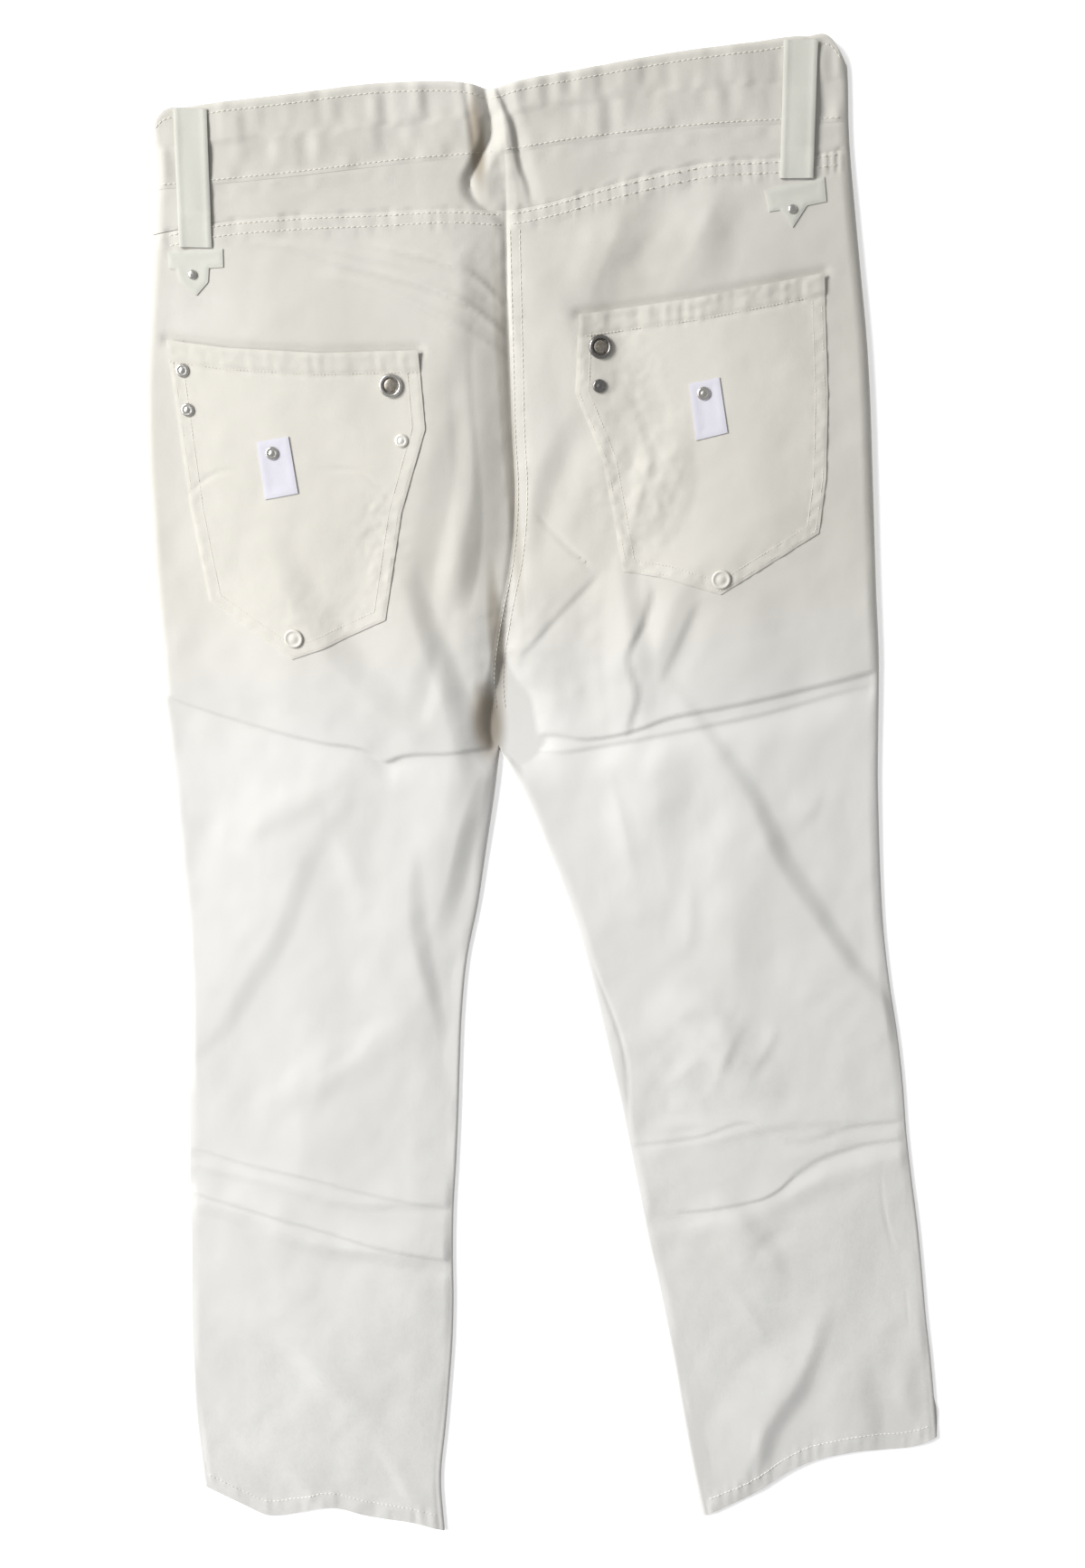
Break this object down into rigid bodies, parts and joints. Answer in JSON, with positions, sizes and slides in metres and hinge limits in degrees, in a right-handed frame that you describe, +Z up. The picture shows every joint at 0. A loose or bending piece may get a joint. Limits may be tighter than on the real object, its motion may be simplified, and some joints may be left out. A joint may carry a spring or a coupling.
{
  "type": "embellished jeans",
  "caption": "Straight-leg off-white cotton jeans laid flat, back side up, with pointed patch pockets, blank cloth labels, wide belt loops and metal studs.",
  "frame": {"origin": "on the surface that the jeans lie on, at the middle of their outline", "axes": "+Y towards the waist, +X to the wearer's right, +Z up out of the back of the jeans"},
  "size_m": [0.5806, 1.0717, 0.0171],
  "materials": {
    "white_twill": "matt off-white cotton twill with tone-on-tone stitching",
    "label_cloth": "smooth woven label, lilac white, blank",
    "nickel": "worn nickel, half gloss",
    "dark_nickel": "dark aged nickel, half gloss",
    "white_enamel": "white painted stud, satin"
  },
  "bodies": {
    "root": {"back_left": "white_twill", "back_right": "white_twill", "belt_loop_left": "white_twill", "belt_loop_right": "white_twill", "fly_placket": "white_twill", "front_left": "white_twill", "front_right": "white_twill", "label_left": "label_cloth", "label_right": "label_cloth", "label_rivet_left": "nickel", "label_rivet_right": "nickel", "loop_tab_left": "white_twill", "loop_tab_right": "white_twill", "pocket_left": "white_twill", "pocket_right": "white_twill", "pocket_rivet_left_a": "nickel", "pocket_rivet_left_b": "nickel", "pocket_rivet_left_c": "nickel", "pocket_rivet_right": "nickel", "point_stud_left": "white_enamel", "point_stud_right": "white_enamel", "ring_cap_left": "dark_nickel", "ring_cap_right": "dark_nickel", "ring_stud_left": "nickel", "ring_stud_right": "nickel", "tab_stud_left": "nickel", "tab_stud_right": "nickel", "waist_button": "nickel", "waistband_back": "white_twill", "waistband_front_left": "white_twill", "waistband_front_right": "white_twill", "yoke_left": "white_twill", "yoke_right": "white_twill"}
  },
  "joints": []
}
